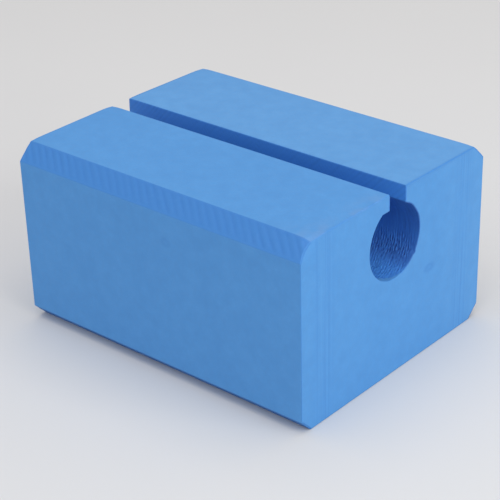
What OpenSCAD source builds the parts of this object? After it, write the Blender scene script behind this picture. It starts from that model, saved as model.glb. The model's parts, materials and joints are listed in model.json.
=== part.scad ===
// Keyhole block of closed-cell foam, cut from one solid piece.
//
// A straight bar with four chamfered long edges. A round bore runs through it from end to end
// just under the top face, and a narrow slot cut down from the top opens the bore along its
// whole length. Pushed over a tube or a rail, the two lips spread and the bore grips the tube.
//
// +X runs along the bore, +Y across the block and +Z up, out of the slot's mouth.
// The origin is the centre of the flat base.

/* [Block] */
// Length of the block, along the bore
block_l = 127; // [80:1:200]
// Width of the block, across the bore
block_w = 102; // [80:1:160]
// Height of the block, from the base to the two top lands
block_h = 69; // [55:1:110]

/* [Chamfers] */
// Width that each top chamfer takes off the top
top_chamfer_w = 5.7; // [1:0.1:12]
// Height that the top chamfer on the -Y side takes off that side
near_chamfer_h = 6.1; // [1:0.1:12]
// Height that the top chamfer on the +Y side takes off that side
far_chamfer_h = 5.7; // [1:0.1:12]
// Width that the bottom chamfer on the -Y side takes off the base
near_base_chamfer_w = 4.6; // [1:0.1:12]
// Width that the bottom chamfer on the +Y side takes off the base
far_base_chamfer_w = 5.2; // [1:0.1:12]
// Height that each bottom chamfer takes off the side
bottom_chamfer_h = 4.7; // [1:0.1:12]

/* [Bore and slot] */
// Diameter of the bore that holds the tube
bore_d = 28; // [16:0.5:36]
// Thickness of foam between the top of the bore and the top lands
neck_h = 4; // [2:0.5:10]
// Sideways offset of the bore's axis from the middle of the block and slot
bore_offset = -1.2; // [-3:0.1:3]
// Width of the slot between the two lips
slot_w = 8.7; // [4:0.1:10]

/* [Hidden] */
$fn = 96;
foam_blue = [0.27, 0.55, 0.84];
// How far a cutter runs past the faces that it opens
cutter_overrun = 1;
bore_axis_z = block_h - neck_h - bore_d / 2;

// Outline of the block seen along the bore: a rectangle with its four corners cut off
module outer_outline() {
    side = block_w / 2;
    polygon([
        [near_base_chamfer_w - side, 0],
        [side - far_base_chamfer_w, 0],
        [side, bottom_chamfer_h],
        [side, block_h - far_chamfer_h],
        [side - top_chamfer_w, block_h],
        [top_chamfer_w - side, block_h],
        [-side, block_h - near_chamfer_h],
        [-side, bottom_chamfer_h]
    ]);
}

// Outline of the keyhole: the round bore and the slot that rises from its axis out of the top
module keyhole_outline() {
    translate([bore_offset, bore_axis_z]) circle(d = bore_d);
    translate([-slot_w / 2, bore_axis_z])
        square([slot_w, block_h - bore_axis_z + cutter_overrun]);
}

// Turns an outline drawn across the block into a straight bar along +X, centred on the origin
module along_bore(length) {
    rotate([90, 0, 90]) linear_extrude(height = length, center = true) children();
}

module foam_block() {
    color(foam_blue)
        difference() {
            along_bore(block_l) outer_outline();
            along_bore(block_l + 2 * cutter_overrun) keyhole_outline();
        }
}

foam_block();
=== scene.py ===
"""A keyhole block of blue closed-cell foam, on a pale floor in soft studio light.

The block is one mesh, worked out in code from the CAD model's own sizes. Its cross-section is traced as
one closed outline, round the outside, down one slot wall, round the bore and up the other slot wall.
The outline is repeated along the block, its ends are rounded over, and each end is closed by a flat cap.
Shallow relief then moves each point along its normal: saw chatter on the chamfers, fine upright lines on
the ends, torn foam in the bore. Lengths of the block are in millimetres until they are handed to Blender.
"""

import json
import math
from types import SimpleNamespace

import bpy
import numpy as np
from mathutils import Matrix, Vector, noise
from mathutils.geometry import delaunay_2d_cdt


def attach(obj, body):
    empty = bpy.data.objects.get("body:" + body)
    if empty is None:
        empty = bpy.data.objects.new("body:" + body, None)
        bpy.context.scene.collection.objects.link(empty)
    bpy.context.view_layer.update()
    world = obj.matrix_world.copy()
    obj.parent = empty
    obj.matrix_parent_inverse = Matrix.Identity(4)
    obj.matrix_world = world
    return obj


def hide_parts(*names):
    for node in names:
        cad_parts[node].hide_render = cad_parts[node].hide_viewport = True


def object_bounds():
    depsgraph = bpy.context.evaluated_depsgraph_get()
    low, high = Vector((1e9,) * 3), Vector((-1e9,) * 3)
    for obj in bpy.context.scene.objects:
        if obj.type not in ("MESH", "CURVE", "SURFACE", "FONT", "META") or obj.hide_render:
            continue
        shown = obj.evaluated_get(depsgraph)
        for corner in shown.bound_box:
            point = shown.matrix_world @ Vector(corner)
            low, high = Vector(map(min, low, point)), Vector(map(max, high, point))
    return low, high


MM = 0.001
CAD_NODE = "foam_block"
PIECE = "foam_block_body"

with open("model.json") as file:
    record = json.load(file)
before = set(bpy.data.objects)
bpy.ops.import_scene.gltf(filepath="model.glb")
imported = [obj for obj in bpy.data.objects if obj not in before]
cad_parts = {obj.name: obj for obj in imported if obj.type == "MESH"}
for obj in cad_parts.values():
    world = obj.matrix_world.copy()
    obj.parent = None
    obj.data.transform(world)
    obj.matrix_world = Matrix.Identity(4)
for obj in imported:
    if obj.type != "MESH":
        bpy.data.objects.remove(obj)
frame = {"nodes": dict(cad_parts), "record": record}
cad_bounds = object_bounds()


# ---------------------------------------------------------------- sizes, from the frame

def read_sizes():
    """The block's sizes in millimetres, from the corners of the CAD mesh and from the bore mount."""
    tolerance = 0.05
    points = np.array([v.co for v in frame["nodes"][CAD_NODE].data.vertices]) / MM
    x, y, z = points.T
    side, height = y.max(), z.max()
    on_top, on_base = z > height - tolerance, z < tolerance
    on_near_side, on_far_side = y < tolerance - side, y > side - tolerance
    bore = next(m for m in frame["record"]["mounts"] if m["kind"] == "bore")
    bore_centre = np.array(bore["pos_m"][1:]) / MM
    bore_radius = bore["dims"]["r_mm"]
    slot_half = abs(y[on_top]).min()
    foot_across = slot_half - bore_centre[0]
    return SimpleNamespace(
        half_length=x.max(),
        side=side,
        height=height,
        land_edge=abs(y[on_top]).max(),
        slot_half=slot_half,
        base_near=-y[on_base].min(),
        base_far=y[on_base].max(),
        low_edge=z[on_near_side].min(),
        near_edge=z[on_near_side].max(),
        far_edge=z[on_far_side].max(),
        bore_centre=bore_centre,
        bore_radius=bore_radius,
        foot_across=foot_across,
        lip_foot=bore_centre[1] + math.sqrt(bore_radius ** 2 - foot_across ** 2),
    )


size = read_sizes()


# ---------------------------------------------------------------- small helpers

def unit(vector):
    return vector / np.linalg.norm(vector)


def outward(direction):
    """The outward normal of an outline that runs anticlockwise round the foam."""
    return np.stack([direction[..., 1], -direction[..., 0]], axis=-1)


def smoothstep(low, high, value):
    t = np.clip((value - low) / (high - low), 0, 1)
    return t * t * (3 - 2 * t)


def between(limits, value):
    """1 between the two inner limits, falling smoothly to 0 at the two outer ones."""
    none_below, all_above, all_below, none_above = limits
    return smoothstep(none_below, all_above, value) * (1 - smoothstep(all_below, none_above, value))


def bump(centre, half_width, value):
    """1 at the centre, falling smoothly to about 0.14 a half width away."""
    return np.exp(-2 * ((value - centre) / half_width) ** 2)


def noise_field(coordinates, seed):
    """Smooth noise from about -1 to 1, one value for each row of coordinates, with features 1 unit apart."""
    seed_spacing = 17.3
    rows = np.asarray(coordinates, float)
    flat = rows.reshape(-1, rows.shape[-1])
    if flat.shape[1] == 2:
        flat = np.column_stack([flat, np.zeros(len(flat))])
    flat = flat + seed_spacing * seed
    values = np.array([noise.noise(Vector(row)) for row in flat])
    return values.reshape(rows.shape[:-1])


# ---------------------------------------------------------------- the cross-section

# Angles round the bore are in degrees from +Y, anticlockwise seen from +X.
LIP_FAR_INSET = 0.5        # how far the foam of the far lip droops into the round of the bore
LIP_FAR_DROOP = (12, 40)   # the angles between which that droop grows
LIP_FAR_FOOT = 0.5         # how much further it droops next to the slot
LIP_FAR_FOOT_START = 42    # the angle where that further droop starts
LIP_NEAR_HEIGHT = 12.0     # height of the near lip's flat underside above the bore's axis
LIP_NEAR_STEPS = 7         # facets across that underside
LIP_BEVEL = (0.5, 1.5)     # width and drop of the worn upper corner of the near lip
BORE_FINE = (-125, 8)      # the stretch of the bore that shows in the photograph, meshed finely
BORE_FINE_FACET = 0.4      # length of its facets
BORE_FACET = 0.75          # length of the other facets round the bore
BORE_MITRE_REACH = 2.0     # how far along the bore the shift of a mitred corner reaches
CROWN = 0.36               # how far the two top lands rise from their outer edges towards the slot
CROWN_WHOLE = 4            # how far below the top that rise still has its whole height
SUPPORT = 0.35             # distance from a rounded edge to the first point on the flat beside it
FILLET_STEPS = 4           # facets round each corner of the outline


def bore_path():
    """Points from the far lip's lower edge, clockwise round the bore, to the near lip's lower edge."""
    centre, radius = size.bore_centre, size.bore_radius
    start = math.degrees(math.acos(size.foot_across / (radius - LIP_FAR_INSET - LIP_FAR_FOOT)))
    end = -180 - math.degrees(math.asin(LIP_NEAR_HEIGHT / radius))
    angles = [start]
    while angles[-1] > end:
        fine = BORE_FINE[0] < angles[-1] < BORE_FINE[1]
        facet = BORE_FINE_FACET if fine else BORE_FACET
        angles.append(angles[-1] - math.degrees(facet / radius))
    angles[-1] = end
    angles = np.array(angles)
    droop = LIP_FAR_INSET * smoothstep(*LIP_FAR_DROOP, angles)
    droop = droop + LIP_FAR_FOOT * smoothstep(LIP_FAR_FOOT_START, start, angles)
    turned = np.radians(angles)
    ring = centre + (radius - droop)[:, None] * np.column_stack([np.cos(turned), np.sin(turned)])
    under = np.array([-size.slot_half, centre[1] + LIP_NEAR_HEIGHT])
    steps = np.linspace(0, 1, LIP_NEAR_STEPS + 1)[1:, None]
    return np.vstack([ring, ring[-1] + (under - ring[-1]) * steps])


def edge(name, start, fillet, end_round, spacing=None, swell=0.0, path=None):
    """One edge of the outline. fillet rounds the corner that it starts from, end_round is the radius that
    turns it over into the block's ends, and swell adds to that radius at the +X end, mid-edge."""
    return SimpleNamespace(name=name, start=np.array(start, float), fillet=fillet, spacing=spacing,
                           end_round=end_round, swell=swell, path=path)


def outline_edges():
    """The edges of the outline in order, each with its path and its direction at both ends."""
    round_bore = bore_path()
    bevel_width, bevel_drop = LIP_BEVEL
    bevel_foot = (-size.slot_half, size.height - bevel_drop)
    land_start = (-size.slot_half - bevel_width, size.height)
    chamfer_start = (-size.land_edge, size.height)
    edges = [
        edge("base", (-size.base_near, 0), fillet=0.3, end_round=0.4, spacing=6),
        edge("low_far", (size.base_far, 0), fillet=0.4, end_round=0.35, spacing=1.2),
        edge("side_far", (size.side, size.low_edge), fillet=0.4, end_round=0.25, spacing=3),
        edge("chamfer_far", (size.side, size.far_edge), fillet=0.4, end_round=0.3, spacing=0.6),
        edge("land_far", (size.land_edge, size.height), fillet=0.4, end_round=0.5, spacing=2),
        edge("wall_far", (size.slot_half, size.height), fillet=0.25, end_round=0.2, spacing=0.5),
        edge("bore", round_bore[0], fillet=0.4, end_round=0.2, path=round_bore),
        edge("wall_near", round_bore[-1], fillet=0.35, end_round=0.5, spacing=0.5),
        edge("bevel_near", bevel_foot, fillet=0.4, end_round=0.25, spacing=0.4),
        edge("land_near", land_start, fillet=0.2, end_round=0.5, spacing=2),
        edge("chamfer_near", chamfer_start, fillet=0.4, end_round=0.3, spacing=0.6, swell=0.25),
        edge("side_near", (-size.side, size.near_edge), fillet=0.4, end_round=0.25, spacing=3),
        edge("low_near", (-size.side, size.low_edge), fillet=0.4, end_round=0.35, spacing=1.2),
    ]
    for this, following in zip(edges, edges[1:] + edges[:1]):
        if this.path is None:
            length = np.linalg.norm(following.start - this.start)
            count = max(2, round(length / this.spacing)) + 1
            this.path = this.start + (following.start - this.start) * np.linspace(0, 1, count)[:, None]
        this.first = unit(this.path[1] - this.path[0])
        this.last = unit(this.path[-1] - this.path[-2])
    return edges


def corner_between(before, after):
    """The corner of two edges. Its reach is how much of each edge the rounding takes. Its mitre is where its
    foam moves when both edges move in by their end_round."""
    normals = outward(np.array([before.last, after.first]))
    turn = math.acos(np.clip(before.last @ after.first, -1, 1))
    return SimpleNamespace(
        before=before,
        normal=normals[0],
        turn=turn,
        reach=after.fillet * math.tan(turn / 2),
        mitre=np.linalg.solve(normals, [-before.end_round, -after.end_round]),
    )


def fillet_rows(this, corner):
    """The outline's points round the corner that an edge starts from."""
    before = corner.before
    centre = this.start - corner.normal * this.fillet - before.last * corner.reach
    for step in range(FILLET_STEPS + 1):
        share = step / FILLET_STEPS
        angle = corner.turn * step / FILLET_STEPS
        normal = math.cos(angle) * corner.normal + math.sin(angle) * before.last
        yield dict(
            name=this.name,
            face=before.name if share < 0.5 else this.name,
            point=centre + normal * this.fillet,
            normal=normal,
            radius=before.end_round * (1 - share) + this.end_round * share,
            swell=0.0,
            inset=corner.mitre,
            along=0.0,
            on_corner=abs(share - 0.5) < 0.3,
        )


def edge_rows(this, near_corner, far_corner):
    """The outline's points along an edge, between its two rounded corners."""
    steps = np.linalg.norm(np.diff(this.path, axis=0), axis=1)
    along = np.concatenate([[0], np.cumsum(steps)])
    total = along[-1]
    clear = 1.5 * SUPPORT
    places = [a for a in along if near_corner.reach + clear < a < total - far_corner.reach - clear]
    places = [near_corner.reach + SUPPORT, *places, total - far_corner.reach - SUPPORT]
    slide_start = near_corner.mitre @ this.first
    slide_end = far_corner.mitre @ this.last
    curved = this.name == "bore"
    fade = BORE_MITRE_REACH if curved else total
    spread = 1 if curved else 0    # facets on either side that the direction is averaged over
    for place in places:
        after = int(np.clip(np.searchsorted(along, place), 1, len(along) - 1))
        low, high = max(after - 1 - spread, 0), min(after + spread, len(along) - 1)
        direction = unit(this.path[high] - this.path[low])
        normal = outward(direction)
        from_start = slide_start * max(0, 1 - place / fade)
        from_end = slide_end * max(0, 1 - (total - place) / fade)
        yield dict(
            name=this.name,
            face=this.name,
            point=np.array([np.interp(place, along, this.path[:, axis]) for axis in (0, 1)]),
            normal=normal,
            radius=this.end_round,
            swell=this.swell * math.sin(math.pi * place / total),
            inset=direction * (from_start + from_end) - normal * this.end_round,
            along=place,
            on_corner=False,
        )


def trace_outline(edges):
    """The outline as arrays with one row for each point: its edge, the face it belongs to, its place and
    outward normal, the radius that turns it over at the ends and that radius's swell, how far the turning
    moves it across the block, its place along its edge, and whether it is on a corner."""
    rows = []
    for index, this in enumerate(edges):
        near_corner = corner_between(edges[index - 1], this)
        far_corner = corner_between(this, edges[(index + 1) % len(edges)])
        rows += fillet_rows(this, near_corner)
        rows += edge_rows(this, near_corner, far_corner)
    return SimpleNamespace(**{field: np.array([row[field] for row in rows]) for field in rows[0]})


def crown(across, up):
    """How far the crown of the top lands raises each point. It dies away down to the bore's axis."""
    towards_slot = (1 - np.abs(across) / size.land_edge).clip(0, 1)
    return CROWN * towards_slot * smoothstep(size.bore_centre[1], size.height - CROWN_WHOLE, up)


outline = trace_outline(outline_edges())
outline.point[:, 1] += crown(*outline.point.T)
outline_y, outline_z = outline.point.T


# ---------------------------------------------------------------- rings along the block

ROUND_STEPS = 5            # facets across each rounded end edge
FINE_STEP_FRONT = 0.26     # spacing of the rings in the torn stretch of the bore at the +X end
FINE_STEP_BACK = 0.36      # and at the -X end
COARSE_STEP = 0.85         # spacing of the rings in the middle
FINE_DEPTH = 17            # how far the fine rings reach in from each end
FINE_FADE = 8              # and the length over which they widen to the coarse ones
FAR_LEAN_UP = 0.0077       # lean of the saw cut at the -X end, for each millimetre up
FAR_LEAN_ACROSS = 0.0054   # and for each millimetre across
SAG_DEPTH = 0.9            # wear of the +X end beside the middle of the near chamfer
SAG_WIDTH = 2.2            # and how far that wear reaches across the end
SAG_REACH = 6.0            # and along the block
NICK_ANGLE = -37           # of a nick in the rim of the bore at the +X end
NICK_DEPTH = 0.55
NICK_HALF_WIDTH = 0.9
NICK_REACH = 1.1           # how far it runs into the bore


def ring_places():
    """Places of the rings along the block, from -1 at one rounded end to 1 at the other."""
    def from_end(fine):
        depths = [0.0]
        while depths[-1] < size.half_length:
            grow = smoothstep(FINE_DEPTH, FINE_DEPTH + FINE_FADE, depths[-1])
            step = fine + (COARSE_STEP - fine) * grow
            depths.append(depths[-1] + step)
        return 1 - np.array(depths[:-1]) / size.half_length
    back, front = from_end(FINE_STEP_BACK), from_end(FINE_STEP_FRONT)
    return np.concatenate([-back[:-1], front[::-1]])


def ring_table():
    """For every ring: its place along the block, and how far round a rounded end it is, as an angle that is
    below 0 at the -X end."""
    places = ring_places()
    turning = np.linspace(0, math.pi / 2, ROUND_STEPS + 1)[1:]
    place = np.concatenate([-np.ones(ROUND_STEPS), places, np.ones(ROUND_STEPS)])
    angle = np.concatenate([-turning[::-1], np.zeros(len(places)), turning])
    return place, angle


def far_end_lean(y, z):
    """How far the -X end stands out at a point, because its saw cut isn't quite square."""
    return FAR_LEAN_UP * (z - size.height / 2) - FAR_LEAN_ACROSS * y


def front_sag(y, z):
    """How far the +X end falls away at a point, where it is worn down towards the near chamfer."""
    drop, width = size.height - size.near_edge, size.side - size.land_edge
    slant = math.hypot(drop, width)
    along = ((y + size.side) * width + (z - size.near_edge) * drop) / slant
    inwards = ((y + size.side) * drop - (z - size.near_edge) * width) / slant
    beside_chamfer = np.sin(math.pi * (along / slant).clip(0, 1))
    return SAG_DEPTH * beside_chamfer * np.exp(-(inwards.clip(0) / SAG_WIDTH) ** 2)


def rim_nick():
    """How deep the nick in the bore's rim is at each outline point."""
    offset = outline.point - size.bore_centre
    arc = size.bore_radius * (np.arctan2(offset[:, 1], offset[:, 0]) - math.radians(NICK_ANGLE))
    return NICK_DEPTH * bump(0, NICK_HALF_WIDTH, arc) * (outline.name == "bore")


ring_place, ring_angle = ring_table()
lean = np.abs(ring_angle)[:, None]
at_front = (ring_place > 0)[:, None]
at_back = (-ring_place[:, None]).clip(0, 1)
grid_radius = outline.radius + at_front * outline.swell
grid_inset = outline.inset - at_front[..., None] * outline.swell[:, None] * outline.normal
grid_x = (ring_place[:, None] * (size.half_length - grid_radius)
          + np.sign(ring_angle)[:, None] * grid_radius * np.sin(lean))
grid_x = grid_x - at_back * far_end_lean(outline_y, outline_z)
near_front = ((grid_x - size.half_length + SAG_REACH) / SAG_REACH).clip(0, 1)
grid_x = grid_x - near_front * front_sag(outline_y, outline_z)
grid_inset = grid_inset - at_front[..., None] * (rim_nick() * outline.normal.T).T
grid_yz = outline.point + grid_inset * (1 - np.cos(lean))[..., None]
grid = np.dstack([grid_x, grid_yz])
grid_normal = np.dstack([
    np.broadcast_to(np.sin(ring_angle)[:, None], grid_x.shape),
    np.cos(lean) * outline.normal[:, 0],
    np.cos(lean) * outline.normal[:, 1],
])


def on_grid(values):
    """Values given for the outline's points, repeated for every ring."""
    return np.broadcast_to(values, grid_x.shape)


def edge_mask(*names):
    """1 at the outline points on the named edges, 0 at the others."""
    return np.isin(outline.name, names).astype(float)


# ---------------------------------------------------------------- relief of the outer faces

WAVES = ((28, 0.05), (11, 0.015))  # length and height of the large soft unevenness of sawn foam
RIPPLED = (                # chamfer, whether it starts from the land or base beside it, its ripples' strength
    ("chamfer_near", True, 1), ("chamfer_far", False, 1),
    ("low_near", False, 0.5), ("low_far", True, 0.5))
RIPPLE_PITCH = 3.77        # along the block, between the chatter marks of the cutter on a chamfer
RIPPLE_SLOPE = 0.9         # how far a mark runs along the block for each millimetre from the land or base
RIPPLE_DEPTH = 0.20
RIPPLE_MARGIN = 0.8        # beside the chamfer's edges, where the ripples fade
RIPPLE_WANDER = (17, 0.4)  # length of the marks' drift along the block, and its size in pitches
RIPPLE_PATCH = (6, 4)      # size of the patches of stronger ripples, along and across
RIPPLE_ROUNDING = 0.03     # how blunt the bottoms of the grooves are
RIPPLE_MIDDLE = 0.64       # mean of the ripples' shape, taken away to leave the chamfer's size alone
END_BAND = 38.5            # distance of the bands of upright lines from the middle of each end
END_BAND_HALF = 5.5        # half width of those bands
END_PITCH = 2.65           # between the lines
END_DEPTH = 0.016          # of the lines
END_FINE_BAND = (4.2, 3)   # bands of finer lines: middle, from the other band's, and half width
END_FINE_PITCH = 1.3
END_FINE_DEPTH = 0.35 * END_DEPTH
END_WANDER = (60, 30)      # length of the lines' drift, across and up
END_WAVE = (14, 0.03)      # length and height of the soft unevenness of each end
FRONT_DIMPLE = (19.4, 32.6)  # place of a shallow thumb mark on the +X end, across and up
DIMPLE_DEPTH = 0.09
DIMPLE_RADIUS = 2.4
DIMPLE_STRETCH = 1.25      # how much wider than high it is


def waviness():
    return sum(height * noise_field(grid / length, seed) for seed, (length, height) in enumerate(WAVES, 1))


def chatter():
    """Slanting ripples across the chamfers, with narrow grooves between them. Returns the relief and how
    deep in a groove each point lies, from 0 to 1."""
    relief, grooves = 0, 0
    drift_length, drift = RIPPLE_WANDER
    any_row = np.full_like(grid_x, 3)    # the noise changes along the block alone
    wander = drift * noise_field(np.dstack([grid_x / drift_length, any_row]), 3)
    for name, from_flat, strength in RIPPLED:
        here = outline.name == name
        across = outline.along * here
        width = across.max()
        away = across if from_flat else width - across
        phase = (grid_x - RIPPLE_SLOPE * away) / RIPPLE_PITCH + wander
        crest = np.abs(np.sin(math.pi * phase))
        places = np.dstack([grid_x / RIPPLE_PATCH[0], on_grid(away / RIPPLE_PATCH[1])])
        patchy = 0.75 + 0.5 * noise_field(places, 13)
        window = here * smoothstep(0, RIPPLE_MARGIN, across) * smoothstep(0, RIPPLE_MARGIN, width - across)
        window = window * strength * patchy
        relief = relief + window * RIPPLE_DEPTH * (np.sqrt(crest ** 2 + RIPPLE_ROUNDING) - RIPPLE_MIDDLE)
        grooves = grooves + window * (1 - smoothstep(0, 0.9, crest))
    return relief, grooves


def end_relief(y, z, sign):
    """Relief of an end face, outwards, at points across the block."""
    places = np.column_stack([y, z])
    wander = 0.12 * noise_field(places / END_WANDER, 11)
    across = np.abs(y) - END_BAND
    lines = np.sin(2 * math.pi * (across / END_PITCH + wander)) * bump(0, END_BAND_HALF, across)
    fine = np.sin(2 * math.pi * (across / END_FINE_PITCH + 2 * wander)) * bump(*END_FINE_BAND, across)
    relief = END_DEPTH * lines + END_FINE_DEPTH * fine
    wave_length, wave_height = END_WAVE
    relief = relief + wave_height * noise_field(places / wave_length, 12 + sign)
    if sign > 0:
        distance = np.hypot((y - FRONT_DIMPLE[0]) / DIMPLE_STRETCH, z - FRONT_DIMPLE[1])
        relief = relief - DIMPLE_DEPTH * bump(0, DIMPLE_RADIUS, distance)
    return relief


# ---------------------------------------------------------------- relief of the bore and the slot

TEAR_DEPTH = 0.36          # depth of a full tear in the bore
STRAND_HEIGHT = 0.20       # height of the strands between them
FAINT_HEIGHT = 0.03        # height of the faint streaks on the wall above the tears
SAW_MARK_HEIGHT = 0.03     # height of the saw marks on the walls of the slot
# painted shade in the pits, painted highlight on the strands, and the tone of the faint streaks
PIT_SHADE, STRAND_HIGHLIGHT, FAINT_TONE = -0.55, 0.95, 0.2
# Stretches round the bore: the angles where each starts, is whole, begins to fade and is gone.
LOWER_WALL = (-122, -100, -66, -52)
MIDDLE_WALL = (-66, -52, -30, -8)
UNSEEN_WALL = (-225, -190, -128, -104)
FAINT_WALL = (-40, -12, 35, 70)
SHADED_WALL = (-80, -45, 60, 90)
TORN = (                   # a stretch, and the strength of its pits and of its strands
    (LOWER_WALL, 0.65, 0.65), (MIDDLE_WALL, 1, 0.65), (UNSEEN_WALL, 0.7, 0.55))
TURN_UPRIGHT = (-66, -46)  # the angles between which the slanted tears give way to upright ones
SKIN_DEPTH = (0.3, 4.6)    # least depth of the smooth skin inside the +X rim, and how much it adds at most
SKIN_PLACE = (-119, 34)    # the angle where it is widest, and its half width
SKIN_END = -74             # the angle where it stops
BACK_SHIFT = 60            # added to the depth at the -X end


def bore_angle():
    """The angle of every outline point round the bore's axis, in degrees, from +90 down to -270."""
    offset = outline.point - size.bore_centre
    angle = np.degrees(np.arctan2(offset[:, 1], offset[:, 0]))
    return np.where(angle > 90, angle - 360, angle)


def tilted(x, y, tilt):
    """Places along and across a direction that is tilted by an angle in degrees from x towards y."""
    turned = math.radians(tilt)
    lengthways = x * math.cos(turned) + y * math.sin(turned)
    crossways = y * math.cos(turned) - x * math.sin(turned)
    return lengthways, crossways


def streaks(x, y, tilt, length, width, seed):
    """Noise from about -1 to 1, drawn out into streaks in a tilted direction."""
    lengthways, crossways = tilted(x, y, tilt)
    return noise_field(np.dstack([lengthways / length, crossways / width]), seed)


def strands(x, y, tilt, length, pitch, seed):
    """Fairly even strands in a tilted direction, the given distance apart, that wander and break up."""
    lengthways, crossways = tilted(x, y, tilt)
    wander = 0.45 * noise_field(np.dstack([lengthways / length, crossways / (2 * pitch)]), seed)
    broken = 0.55 + 0.9 * noise_field(np.dstack([lengthways / (0.4 * length), crossways / pitch]), seed + 30)
    return np.sin(2 * math.pi * (crossways / pitch + wander)) * broken.clip(0, 1.2)


def tears():
    """The torn foam in the bore: its relief, its tone of painted light and shade, which is below 0 in the
    pits as painted shade and above 0 on raised strands as painted highlight, and where a smooth skin is left
    along the rim, from 0 to 1."""
    in_bore = edge_mask("bore")
    angle = on_grid(bore_angle())
    arc = np.radians(angle) * size.bore_radius
    depth = size.half_length - np.abs(grid_x)
    # the -X end has a pattern of its own, and is torn right up to its rim
    depth = np.where(grid_x < 0, depth + BACK_SHIFT, depth)
    slanted = (0.30 * strands(depth, arc, tilt=73, length=2.6, pitch=0.9, seed=15)
               + 0.55 * streaks(depth, arc, tilt=70, length=0.9, width=0.3, seed=5))
    upright = (0.34 * strands(depth, arc, tilt=78, length=2.4, pitch=0.95, seed=16)
               + 0.5 * streaks(depth, arc, tilt=80, length=1.2, width=0.28, seed=6))
    to_upright = smoothstep(*TURN_UPRIGHT, angle)
    pattern = slanted * (1 - to_upright) + upright * to_upright
    patches = 0.85 + 0.5 * noise_field(np.dstack([depth / 4, arc / 4]), 9)
    skin_depth = SKIN_DEPTH[0] + SKIN_DEPTH[1] * bump(*SKIN_PLACE, angle)
    skin = (1 - smoothstep(0.75, 1.05, (depth + 0.5 * pattern) / skin_depth)) * (angle < SKIN_END)
    torn = patches * (1 - skin) * in_bore * smoothstep(0, 0.5 + 3.5 * to_upright, depth)
    pits = smoothstep(0, 0.34, pattern) * torn
    pits = pits * sum(strength * between(stretch, angle) for stretch, strength, _ in TORN)
    raised = smoothstep(0.04, 0.3, -pattern) * torn
    raised = raised * sum(strength * between(stretch, angle) for stretch, _, strength in TORN)
    faint = streaks(depth, arc, tilt=88, length=6, width=0.42, seed=8)
    faint = faint * in_bore * between(FAINT_WALL, angle)
    relief = -TEAR_DEPTH * pits + STRAND_HEIGHT * raised + FAINT_HEIGHT * faint
    relief = relief - rim_nick() * at_front * np.exp(-(depth / NICK_REACH) ** 2)
    # painted shade on the bore's middle wall, and painted light on its lower wall further in
    wall_shade = (0.50 - 0.20 * smoothstep(3, 16, depth)) * in_bore * between(SHADED_WALL, angle)
    wall_light = (0.08 + 0.3 * smoothstep(3, 14, depth)) * in_bore * between(LOWER_WALL, angle)
    tone = STRAND_HIGHLIGHT * raised + PIT_SHADE * pits + FAINT_TONE * faint - (wall_shade - wall_light) * (1 - skin)
    return relief, tone, skin * in_bore


def wall_marks():
    """Faint slanting saw marks on the walls of the slot, from about -1 to 1."""
    marks = strands(grid_x, on_grid(outline_z), tilt=46, length=14, pitch=1.6, seed=10)
    return edge_mask("wall_far", "wall_near") * marks


# ---------------------------------------------------------------- the relief, put on

tear_relief, tear_light_and_shade, rim_skin = tears()
ripple_relief, ripple_grooves = chatter()
saw_marks = wall_marks()
side_relief = waviness() * (1 - edge_mask("base", "bore", "wall_far", "wall_near"))
side_relief = side_relief + ripple_relief + tear_relief + SAW_MARK_HEIGHT * saw_marks
flat_y, flat_z = grid_yz.reshape(-1, 2).T
cap_relief = np.where(
    ring_place[:, None] > 0,
    end_relief(flat_y, flat_z, 1).reshape(grid_x.shape),
    end_relief(flat_y, flat_z, -1).reshape(grid_x.shape),
)
grid = grid + grid_normal * np.dstack([
    np.abs(grid_normal[..., 0]) * cap_relief,
    np.cos(lean) * side_relief,
    np.cos(lean) * side_relief,
])


# ---------------------------------------------------------------- the two end caps

CAP_SPACING = (1.7, 2.2)   # of the points inside a cap, across and up
BAND_SPACING = 0.5         # across the bands of upright lines


def inside(points, loop):
    """Whether each point is inside the closed loop."""
    count = np.zeros(len(points), int)
    for start, end in zip(loop, np.roll(loop, -1, axis=0)):
        crosses = (start[1] > points[:, 1]) != (end[1] > points[:, 1])
        if crosses.any():
            slope = (end[0] - start[0]) / (end[1] - start[1])
            count += crosses & (points[:, 0] < start[0] + (points[:, 1] - start[1]) * slope)
    return count % 2 == 1


def clear_inside(points, loop, gap):
    """The points that are inside the closed loop and further than the gap from its own points."""
    distance = np.min(np.linalg.norm(points[:, None] - loop[None], axis=2), axis=1)
    return points[inside(points, loop) & (distance > gap)]


def cap_points(loop):
    """Points inside a cap: a ring just inside its edge, then rows that are closer across the line bands."""
    normals = outward(np.roll(loop, -1, axis=0) - np.roll(loop, 1, axis=0))
    normals = normals / np.linalg.norm(normals, axis=1)[:, None]
    ring = []
    for point in clear_inside(loop - normals * SUPPORT, loop, 0.8 * SUPPORT):
        if not ring or np.linalg.norm(point - ring[-1]) > 0.6 * SUPPORT:
            ring.append(point)
    columns, y = [], 0.0
    while y < size.side:
        columns.append(y)
        y += BAND_SPACING if abs(y - END_BAND) < END_BAND_HALF else CAP_SPACING[0]
    columns = [-c for c in columns[:0:-1]] + columns
    rows = np.arange(CAP_SPACING[1] / 2, size.height, CAP_SPACING[1])
    lattice = np.array([(y, z) for y in columns for z in rows])
    return np.vstack([ring, clear_inside(lattice, loop, 2.2 * SUPPORT)])


def fill_cap(loop):
    """Triangles that fill a closed loop, as indices into the loop's points followed by the inner points."""
    inner = cap_points(loop)
    points = [Vector(p) for p in np.vstack([loop, inner])]
    count = len(loop)
    ring = [(i, (i + 1) % count) for i in range(count)]
    _, _, faces, origins, _, _ = delaunay_2d_cdt(points, ring, [list(range(count))], 1, 1e-7)
    if any(not o for o in origins):
        raise ValueError("an end cap's outline crosses itself")
    return inner, [[origins[i][0] for i in face] for face in faces]


# ---------------------------------------------------------------- the mesh

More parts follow.
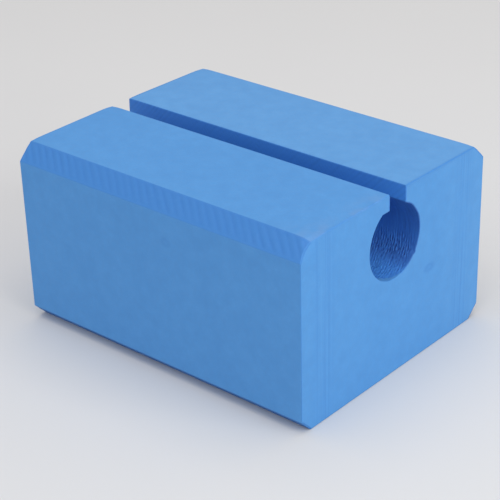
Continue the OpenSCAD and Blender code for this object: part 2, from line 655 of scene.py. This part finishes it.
CHAMFERS = ("chamfer_near", "chamfer_far", "low_near", "low_far")
LOW_CHAMFERS = ("low_near", "low_far")
WALLS = ("wall_far", "wall_near")
KEYHOLE = (*WALLS, "bore")
BLUNT_CORNERS = (          # of the top: end of the block, distance across from the middle, depth of the wear
    (1, -size.land_edge, 1.3), (1, size.land_edge, 0.25), (-1, -size.land_edge, 0.25),
    (-1, size.land_edge, 0.3), (-1, -size.slot_half, 0.4), (-1, size.slot_half, 0.15))
BLUNT_REACH = 2.4          # how far from a corner its wear reaches
SCUFF_BAND = 4.5           # reach of the scuff on the near land, from the +X end
SCUFF_BAND_MORE = 5.5      # how much further it reaches at the corner
SCUFF_CORNER = 7           # width of that stretch at the corner
SCUFF_FADE = (-10, -5)     # where it ends across the block, before the slot
SCUFF_PATCH = (3, 4)       # size of its patches, along and across
SHEEN_RISE = (15, 48)       # the heights between which painted light grows on the +X end
SAW_TONE, SAW_GROOVE_SHADE = 0.14, 0.3  # how strongly the saw marks show in the tone, as lighter and darker streaks, and in the painted shade of the grooves
LAND_NEAR_EDGE_SHADE = 0.65      # painted shade of the near land's rounded end edges, as a share of the others


def blunt_corners(points):
    """The points, moved in where the corners of the top are worn blunt."""
    for end, across, depth in BLUNT_CORNERS:
        corner = np.array([end * size.half_length, across, size.height])
        near = np.exp(-(np.linalg.norm(points - corner, axis=1) / BLUNT_REACH) ** 2)
        sideways = 0.5 * np.sign(across) if abs(across) > size.slot_half else 0
        points = points - depth * near[:, None] * unit(np.array([end, sideways, 1]))
    return points


def scuff(x, y, z):
    """How scuffed and grey the foam is: patches on the near land along the +X end, most at the corner."""
    from_end = size.half_length - x
    from_corner = y + size.land_edge
    at_corner = np.exp(-(from_corner.clip(0) / SCUFF_CORNER) ** 2)
    band = np.exp(-(from_end / (SCUFF_BAND + SCUFF_BAND_MORE * at_corner)) ** 2)
    band = band * smoothstep(-0.4, 0.3, from_corner)
    on_land = smoothstep(size.height - 0.35, size.height - 0.1, z) * (1 - smoothstep(*SCUFF_FADE, y))
    places = np.stack([x / SCUFF_PATCH[0], y / SCUFF_PATCH[1]], axis=-1)
    patchy = smoothstep(-0.25, 0.4, noise_field(places, 14) + 0.3 * at_corner)
    return band * patchy * on_land


def end_cap(ring, sign):
    """The points inside the cap on one end ring, and the cap's triangles, as fill_cap numbers them."""
    inner, triangles = fill_cap(grid_yz[ring])
    y, z = inner.T
    x = sign * (size.half_length + end_relief(y, z, sign))
    x = x - (front_sag if sign > 0 else far_end_lean)(y, z)
    return np.column_stack([x, inner]), triangles


def points_and_faces():
    """The block's points, those of the rings first and then those inside the caps, and its faces."""
    ids = np.arange(grid_x.size).reshape(grid_x.shape)
    after = np.roll(ids, -1, axis=1)
    points = grid.reshape(-1, 3)
    faces = np.stack([ids[:-1], after[:-1], after[1:], ids[1:]], axis=-1).reshape(-1, 4).tolist()
    for ring, sign in ((-1, 1), (0, -1)):
        inner, triangles = end_cap(ring, sign)
        numbers = np.concatenate([ids[ring], len(points) + np.arange(len(inner))])
        for triangle in triangles:
            corners = numbers[triangle].tolist()
            faces.append(corners if sign > 0 else corners[::-1])
        points = np.vstack([points, inner])
    return points, faces


def add_attributes(mesh, caps):
    """Gives each point the values that the material reads. Inside the caps they are 0, unless said."""
    def attribute(name, values, on_caps=0.0):
        layer = mesh.attributes.new(name, "FLOAT", "POINT")
        everywhere = np.concatenate([on_grid(values).ravel(), np.broadcast_to(on_caps, len(caps))])
        layer.data.foreach_set("value", everywhere.astype(np.float32))

    tone = (tear_light_and_shade + SAW_TONE * saw_marks).clip(-1, 1)
    down_wall = (size.height - grid_yz[..., 1]) / (size.height - size.lip_foot)
    sheen_on_end = 0.45 * smoothstep(*SHEEN_RISE, caps[:, 1]) * (caps[:, 0] > 0)
    end_edge_shade = np.sin(2 * lean) * np.where(outline.face == "land_near", LAND_NEAR_EDGE_SHADE, 1)
    # the bore's painted light and shade, with the lighter and darker streaks of the saw marks
    attribute("tear", 0.5 + 0.5 * tone, on_caps=0.5)
    # painted shade in the grooves of the chatter marks, raised and lowered along the saw marks
    attribute("groove", ripple_grooves - SAW_GROOVE_SHADE * saw_marks)
    attribute("cut", np.isin(outline.face, CHAMFERS))
    # painted shade on the low chamfers, under the block
    attribute("low_shade", np.isin(outline.face, LOW_CHAMFERS))
    # the slot and the bore: their fresh cut, and painted shade in that recess, except on the smooth skin by
    # the rim
    attribute("keyhole", np.isin(outline.face, KEYHOLE) * (1 - rim_skin))
    attribute("lit", np.isin(outline.face, WALLS) * down_wall.clip(0, 1))
    # painted sheen on the far land, and painted light towards the top of the +X end
    attribute("pale_sheen", outline.face == "land_far", on_caps=sheen_on_end)
    # wear along the outline's corners, and painted shade across the rounded end edges, strongest halfway
    # round
    attribute("wear_and_edge_shade", np.maximum(0.9 * outline.on_corner, end_edge_shade))
    attribute("scuff", scuff(*np.moveaxis(grid, -1, 0)))


def build_block():
    points, faces = points_and_faces()
    mesh = bpy.data.meshes.new(PIECE)
    mesh.from_pydata((blunt_corners(points) * MM).tolist(), [], faces)
    mesh.polygons.foreach_set("use_smooth", np.ones(len(faces), bool))
    add_attributes(mesh, caps=points[grid_x.size:])
    mesh.validate()
    block = bpy.data.objects.new(PIECE, mesh)
    bpy.context.scene.collection.objects.link(block)
    return block


block = build_block()


# ---------------------------------------------------------------- materials

class Nodes:
    """A short way to write a node tree: each call adds a node, sets its values and links its inputs."""

    def __init__(self, tree):
        self.tree = tree

    def add(self, kind, values=None, **settings):
        node = self.tree.nodes.new(kind)
        for name, value in settings.items():
            setattr(node, name, value)
        for name, value in (values or {}).items():
            if isinstance(value, bpy.types.NodeSocket):
                self.tree.links.new(value, node.inputs[name])
            else:
                node.inputs[name].default_value = value
        return node

    def noise(self, place, feature, detail=2.0):
        """Noise about 0.5, with features of the given size in millimetres."""
        return self.add("ShaderNodeTexNoise", {
            "Vector": place, "Scale": 1 / (feature * MM), "Detail": detail, "Roughness": 0.5}).outputs["Fac"]

    def ramp(self, value, low, high, to_low=0.0, to_high=1.0):
        return self.add("ShaderNodeMapRange", {
            "Value": value, "From Min": low, "From Max": high, "To Min": to_low, "To Max": to_high},
        ).outputs["Result"]

    def math(self, operation, first, second=0.0):
        return self.add("ShaderNodeMath", {0: first, 1: second}, operation=operation).outputs["Value"]

    def plus(self, first, *others):
        for other in others:
            first = self.math("ADD", first, other)
        return first

    def times(self, first, *others):
        for other in others:
            first = self.math("MULTIPLY", first, other)
        return first

    def vector(self, operation, first, second=(0, 0, 0)):
        return self.add("ShaderNodeVectorMath", {0: first, 1: second}, operation=operation).outputs

    def parts(self, vector):
        return self.add("ShaderNodeSeparateXYZ", {"Vector": vector}).outputs

    def mix(self, amount, first, second):
        return self.add("ShaderNodeMix", {"Factor": amount, 6: first, 7: second},
                        data_type="RGBA").outputs[2]

    def attribute(self, name):
        return self.add("ShaderNodeAttribute", attribute_name=name).outputs["Fac"]


FOAM_LIGHT = (0.088, 0.318, 0.690, 1)
FOAM_DEEP = (0.066, 0.264, 0.608, 1)
CUT_BLUE = (0.046, 0.220, 0.582, 1)       # the chamfers
LOW_SHADE_BLUE = (0.030, 0.158, 0.460, 1)     # painted shade on the chamfers next to the floor, under the block
KEYHOLE_SHADE_BLUE = (0.040, 0.216, 0.640, 1)   # the fresh cut of the slot and the bore, also painted darker as shade in that recess
KEYHOLE_LIT = (0.041, 0.226, 0.660, 1)    # low in the slot, where light comes through the foam
# painted shade in the grooves of the chatter marks
GROOVE_SHADE_BLUE = (0.038, 0.198, 0.550, 1)
# painted shade in the torn pits, and painted highlight on the strands
PIT_SHADE_BLUE = (0.006, 0.048, 0.270, 1)
STRAND_HIGHLIGHT_BLUE = (0.062, 0.310, 0.790, 1)
# darker blue of worn marks and lines, and painted shade on the rounded edges
WORN_AND_SHADE_BLUE = (0.053, 0.234, 0.588, 1)
EDGE_SHADE_BLUE = (0.044, 0.216, 0.560, 1)      # painted shade along the rounded edges between the top and the ends
SCUFF_GREY = (0.150, 0.300, 0.580, 1)
# painted sheen on the far land, and painted light high on the +X end
SHEEN_PALE = (0.330, 0.590, 0.800, 1)

CLOUD_SIZE, BLOTCH_SIZE, MOTTLE_SIZE = 18, 5, 1.6           # of the foam's unevenness in colour
CLOUD_SHARE, BLOTCH_SHARE, MOTTLE_SHARE = 0.25, 0.35, 0.4   # of each in its tone
GRAIN_SIZE = 0.8
CELL_SIZE = 0.42           # of the foam's closed cells
GRAIN_TONE = 0.35          # how strongly the grain darkens the foam
GROOVE_SHADE_TONE = 0.75         # how strongly painted shade darkens the grooves of the chatter marks
SCUFF_TONE = 0.4           # how strongly the scuff greys it
BUMP_STRENGTH, BUMP_HEIGHT = 0.25, 0.1    # of the cells and the grain together
SMUDGES = (                # oval, with a paler middle: place, half widths and strength
    ((size.half_length, *FRONT_DIMPLE), (3.0, 4.0, 2.1), 0.75),
    ((6.0, -size.side, 52.5), (2.8, 2.6, 2.4), 0.4))
EDGE_REACH = (0.3, 1.3)    # distances from an edge between the top and an end where its painted shade is whole, and gone
EDGE_NEAR_SHARE = 0.3      # how strong it is on the near side of the slot
EDGE_CHANGE = 4            # distance from the middle to where it is whole on either side
LINE_BAND = (39.5, 6.5)    # distance from the middle and half width of the bands of lines on the ends
LINES = ((0.85, 0.8, WORN_AND_SHADE_BLUE), (0.7, 0.5, FOAM_LIGHT))  # spacing of the lines, their strength and colour
LINE_STRETCH = 0.01        # scale of the lines' noise upwards, against 1 across
END_SKIN = (0.6, 0.3)      # depths below an end where its lines start to show, and are whole


def start_material(name):
    """A new material, a writer for its empty node tree, and the place on the object, in metres."""
    material = bpy.data.materials.new(name)
    material.use_nodes = True
    material.node_tree.nodes.clear()
    n = Nodes(material.node_tree)
    return material, n, n.add("ShaderNodeTexCoord").outputs["Object"]


def finish_material(n, values):
    shader = n.add("ShaderNodeBsdfPrincipled", values)
    n.add("ShaderNodeOutputMaterial", {"Surface": shader.outputs["BSDF"]})


def top_end_edges(n, place):
    """How near the edges between the top and the ends are, from 1 on them to 0 at their reach."""
    parts = n.parts(place)
    from_end = n.math("SUBTRACT", n.math("ABSOLUTE", parts["X"]), size.half_length * MM)
    from_top = n.math("SUBTRACT", parts["Z"], (size.height + CROWN / 2) * MM)
    offset = n.add("ShaderNodeCombineXYZ", {"X": from_end, "Z": from_top}).outputs["Vector"]
    away = n.vector("LENGTH", offset)["Value"]
    whole, gone = EDGE_REACH
    fainter_near = n.ramp(parts["Y"], -EDGE_CHANGE * MM, EDGE_CHANGE * MM, EDGE_NEAR_SHARE, 1)
    return n.times(n.ramp(away, whole * MM, gone * MM, 1, 0), fainter_near)


def end_lines(n, place, spacing):
    """How strong the fine upright cut lines are, from 0 to 1. They lie only in two bands on each end."""
    drawn_out = n.vector("MULTIPLY", place, (0, 1, LINE_STRETCH))["Vector"]
    line = n.ramp(n.noise(drawn_out, spacing), 0.42, 0.62)
    parts = n.parts(place)
    starts, whole = ((size.half_length - depth) * MM for depth in END_SKIN)
    on_end = n.ramp(n.math("ABSOLUTE", parts["X"]), starts, whole)
    middle, half_width = (length * MM for length in LINE_BAND)
    off_band = n.math("ABSOLUTE", n.math("SUBTRACT", n.math("ABSOLUTE", parts["Y"]), middle))
    in_band = n.ramp(off_band, 0, half_width, 1, 0)
    return n.times(on_end, in_band, line)


def smudge(n, place, centre, half_widths, strength):
    """How strong one oval smudge is, from 0 outside it."""
    shrink = 1 / (np.array(half_widths) * MM)
    shrunk = n.vector("MULTIPLY", place, shrink)["Vector"]
    away = n.vector("DISTANCE", shrunk, np.array(centre) * MM * shrink)["Value"]
    return n.times(n.ramp(away, 0.5, 1.0, strength, 0), n.ramp(away, 0.1, 0.5, 0.45, 1))


def foam_material():
    material, n, place = start_material("closed_cell_foam")
    clouds = n.ramp(n.noise(place, CLOUD_SIZE, 3), 0.3, 0.7)
    blotches = n.ramp(n.noise(place, BLOTCH_SIZE), 0.32, 0.68)
    mottle = n.ramp(n.noise(place, MOTTLE_SIZE), 0.32, 0.68)
    grain = n.noise(place, GRAIN_SIZE)
    cell = n.add("ShaderNodeTexVoronoi", {"Vector": place, "Scale": 1 / (CELL_SIZE * MM)}).outputs["Distance"]
    tear = n.attribute("tear")    # painted shade at 0 in the pits, painted highlight at 1 on the strands
    shares = ((clouds, CLOUD_SHARE), (blotches, BLOTCH_SHARE), (mottle, MOTTLE_SHARE))
    tone = n.plus(*(n.times(pattern, share) for pattern, share in shares))
    colour = n.mix(tone, FOAM_DEEP, FOAM_LIGHT)
    layers = [                    # how much of each colour is laid over what is there
        (n.ramp(grain, 0.35, 0.65, 0.0, GRAIN_TONE), FOAM_DEEP),
        # painted sheen on the far land and painted light high on the +X end
        (n.times(n.attribute("pale_sheen"), n.ramp(blotches, 0, 1, 0.08, 0.10)), SHEEN_PALE),
        *((n.times(end_lines(n, place, spacing), strength), paint) for spacing, strength, paint in LINES),
        (n.attribute("cut"), CUT_BLUE),
        # painted shade under the block, on the low chamfers
        (n.attribute("low_shade"), LOW_SHADE_BLUE),
        (n.attribute("keyhole"), KEYHOLE_SHADE_BLUE),
        (n.attribute("lit"), KEYHOLE_LIT),
        (n.times(n.attribute("groove"), GROOVE_SHADE_TONE), GROOVE_SHADE_BLUE),
        # wear on the corners, and painted shade on the rounded end edges
        (n.attribute("wear_and_edge_shade"), WORN_AND_SHADE_BLUE),
        # painted shade line along the edges between the top and the ends
        (n.times(top_end_edges(n, place), n.ramp(blotches, 0, 1, 0.3, 0.7)), EDGE_SHADE_BLUE),
        *((smudge(n, place, *spot), WORN_AND_SHADE_BLUE) for spot in SMUDGES),
        (n.times(n.attribute("scuff"), SCUFF_TONE), SCUFF_GREY),
        (n.ramp(tear, 0.5, 0.0), PIT_SHADE_BLUE),
        (n.ramp(tear, 0.5, 1.0), STRAND_HIGHLIGHT_BLUE),
    ]
    for amount, paint in layers:
        colour = n.mix(amount, colour, paint)
    height = n.plus(n.times(cell, 0.5), n.times(grain, 0.6))
    bumps = n.add("ShaderNodeBump", {
        "Strength": BUMP_STRENGTH, "Distance": BUMP_HEIGHT * MM, "Height": height}).outputs["Normal"]
    roughness = n.ramp(mottle, 0, 1, 0.62, 0.75)
    finish_material(n, {
        "Base Color": colour, "Roughness": roughness, "Normal": bumps, "Specular IOR Level": 0.5})
    return material


def floor_material():
    material, n, place = start_material("pale_floor")
    tone = n.mix(n.noise(place, 90), (0.695, 0.695, 0.695, 1), (0.710, 0.710, 0.708, 1))
    finish_material(n, {"Base Color": tone, "Roughness": 0.9, "Specular IOR Level": 0.2})
    return material


block.data.materials.append(foam_material())
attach(block, "root")
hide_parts(CAD_NODE)


# ---------------------------------------------------------------- floor, light and camera

FLOOR_HALF = 12.0          # metres
SKY_COLOUR, SKY_STRENGTH = (1.0, 1.0, 1.0), 0.60
CAMERA_AZIMUTH = 41.13     # degrees, from -Y towards +X
CAMERA_HEIGHT = 27.25      # degrees above the horizon
CAMERA_ROLL = -1.47        # degrees
CAMERA_DISTANCE = 571.0    # from the middle of the block
CAMERA_SHIFT = (0.94, 6.60)  # how far the block's middle lies right of and above the camera's axis
CAMERA_LENS = 114.24       # on a 36 mm wide sensor
CAMERA_FARTHEST = 60       # metres, the end of what the camera draws


def lay_floor():
    half = FLOOR_HALF
    mesh = bpy.data.meshes.new("floor")
    corners = [(-half, -half, 0), (half, -half, 0), (half, half, 0), (-half, half, 0)]
    mesh.from_pydata(corners, [], [(0, 1, 2, 3)])
    mesh.materials.append(floor_material())
    floor = bpy.data.objects.new("floor", mesh)
    bpy.context.scene.collection.objects.link(floor)


def set_sky():
    world = bpy.data.worlds.new("studio")
    world.use_nodes = True
    background = world.node_tree.nodes["Background"]
    background.inputs["Color"].default_value = (*SKY_COLOUR, 1)
    background.inputs["Strength"].default_value = SKY_STRENGTH
    bpy.context.scene.world = world


def hang_softbox(name, place, aim, width, watts, colour):
    """A square soft light. Its place, what it aims at and its width are in metres."""
    light = bpy.data.lights.new(name, "AREA")
    light.shape = "SQUARE"
    light.size = width
    light.energy = watts
    light.color = colour
    lamp = bpy.data.objects.new(name, light)
    lamp.location = place
    lamp.rotation_mode = "QUATERNION"
    lamp.rotation_quaternion = (Vector(aim) - Vector(place)).to_track_quat("-Z", "Y")
    bpy.context.scene.collection.objects.link(lamp)


def place_camera():
    azimuth, height, roll = map(math.radians, (CAMERA_AZIMUTH, CAMERA_HEIGHT, CAMERA_ROLL))
    back = Vector((math.sin(azimuth) * math.cos(height), -math.cos(azimuth) * math.cos(height),
                   math.sin(height)))
    level_right = Vector((math.cos(azimuth), math.sin(azimuth), 0))
    level_up = back.cross(level_right)
    right = math.cos(roll) * level_right + math.sin(roll) * level_up
    up = math.cos(roll) * level_up - math.sin(roll) * level_right
    middle = (cad_bounds[0] + cad_bounds[1]) / 2
    offset = back * CAMERA_DISTANCE - right * CAMERA_SHIFT[0] - up * CAMERA_SHIFT[1]
    turned = Matrix((right, up, back)).transposed().to_4x4()
    data = bpy.data.cameras.new("camera")
    data.lens = CAMERA_LENS
    data.clip_end = CAMERA_FARTHEST
    camera = bpy.data.objects.new("camera", data)
    camera.matrix_world = Matrix.Translation(middle + offset * MM) @ turned
    bpy.context.scene.collection.objects.link(camera)
    bpy.context.scene.camera = camera


lay_floor()
set_sky()
hang_softbox("softbox_top", place=(0, 0, 1.2), aim=(0, 0, 0), width=1.2, watts=4.25,
             colour=(1.12, 1.0, 0.92))
hang_softbox("softbox_right", place=(0.90, 0, 0.41), aim=(0, 0, 0.03), width=0.75, watts=4.15,
             colour=(0.96, 1.0, 1.02))
hang_softbox("softbox_front", place=(0.2, -0.9, 1.0), aim=(0, 0, 0.03), width=0.9, watts=2.7,
             colour=(0.80, 1.0, 1.30))
place_camera()
bpy.context.scene.view_settings.view_transform = "Standard"
